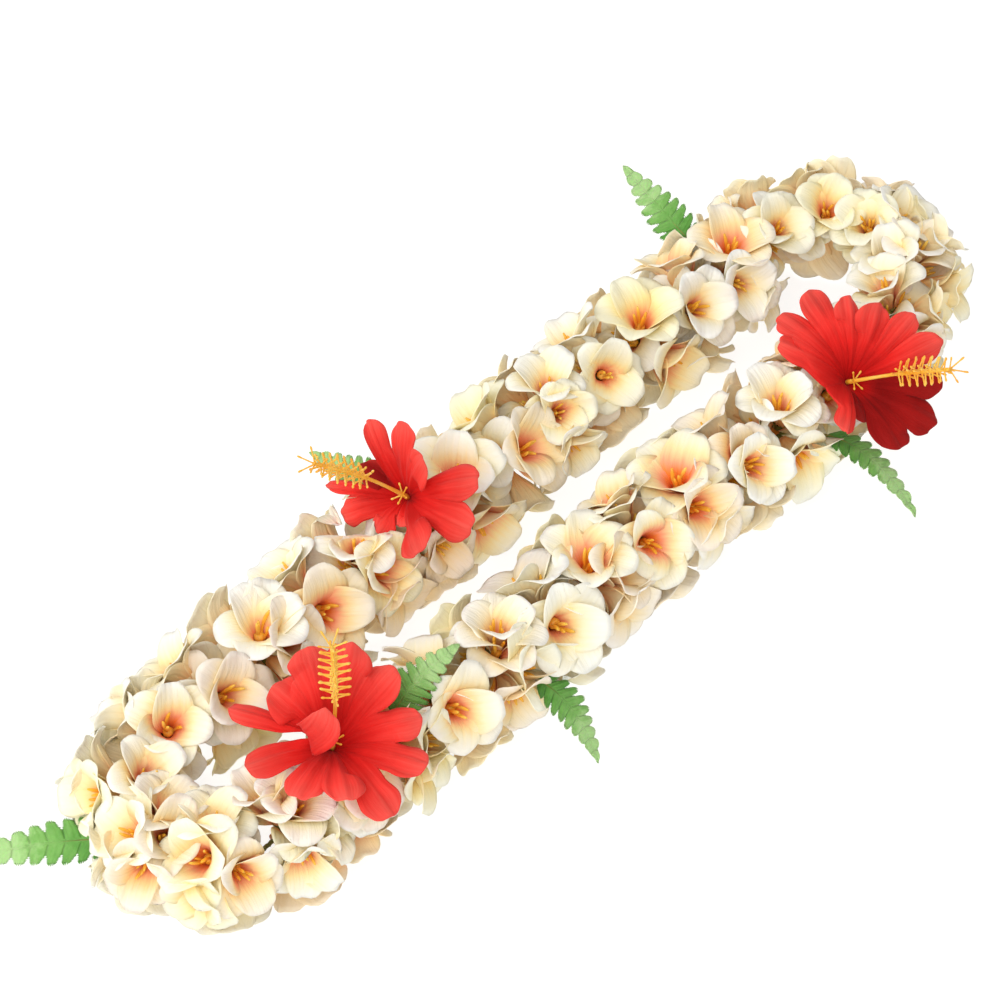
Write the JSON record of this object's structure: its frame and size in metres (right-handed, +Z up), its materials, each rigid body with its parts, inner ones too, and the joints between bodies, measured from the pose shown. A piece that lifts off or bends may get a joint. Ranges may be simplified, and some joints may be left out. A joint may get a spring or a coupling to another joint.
{
  "type": "flower lei",
  "caption": "Long loop of pale freesia-like fabric blossoms on a string, with large red hibiscus and green fern leaves set among them, laid out flat.",
  "frame": {"origin": "middle of the whole lei's bounding box, on the surface it lies on", "axes": "+X along the laid-out loop, towards its wider bend; +Y across the two strands; +Z up from the surface it lies on"},
  "size_m": [0.5861, 0.2456, 0.1375],
  "materials": {
    "pale_petals": "soft woven, ivory with yellow and orange-pink throats",
    "red_petals": "woven, matt",
    "pistil_plastic": "moulded, satin",
    "fern_fabric": "stiffened, matt",
    "string": "twisted cord"
  },
  "bodies": {
    "root": {"blossoms_01": "pale_petals", "blossoms_02": "pale_petals", "blossoms_03": "pale_petals", "blossoms_04": "pale_petals", "blossoms_05": "pale_petals", "blossoms_06": "pale_petals", "blossoms_07": "pale_petals", "blossoms_08": "pale_petals", "blossoms_09": "pale_petals", "blossoms_10": "pale_petals", "blossoms_11": "pale_petals", "blossoms_12": "pale_petals", "blossoms_13": "pale_petals", "blossoms_14": "pale_petals", "blossoms_15": "pale_petals", "blossoms_16": "pale_petals", "blossoms_17": "pale_petals", "blossoms_18": "pale_petals", "blossoms_19": "pale_petals", "blossoms_20": "pale_petals", "blossoms_21": "pale_petals", "blossoms_22": "pale_petals", "blossoms_23": "pale_petals", "blossoms_24": "pale_petals", "blossoms_25": "pale_petals", "blossoms_26": "pale_petals", "blossoms_27": "pale_petals", "blossoms_28": "pale_petals", "blossoms_29": "pale_petals", "blossoms_30": "pale_petals", "blossoms_31": "pale_petals", "blossoms_32": "pale_petals", "blossoms_33": "pale_petals", "blossoms_34": "pale_petals", "hibiscus_near": "red_petals", "hibiscus_middle": "red_petals", "hibiscus_far": "red_petals", "pistil_near": "pistil_plastic", "pistil_middle": "pistil_plastic", "pistil_far": "pistil_plastic", "fern_a": "fern_fabric", "fern_b": "fern_fabric", "fern_c": "fern_fabric", "fern_d": "fern_fabric", "fern_e": "fern_fabric", "fern_f": "fern_fabric", "string": "string"}
  },
  "joints": []
}
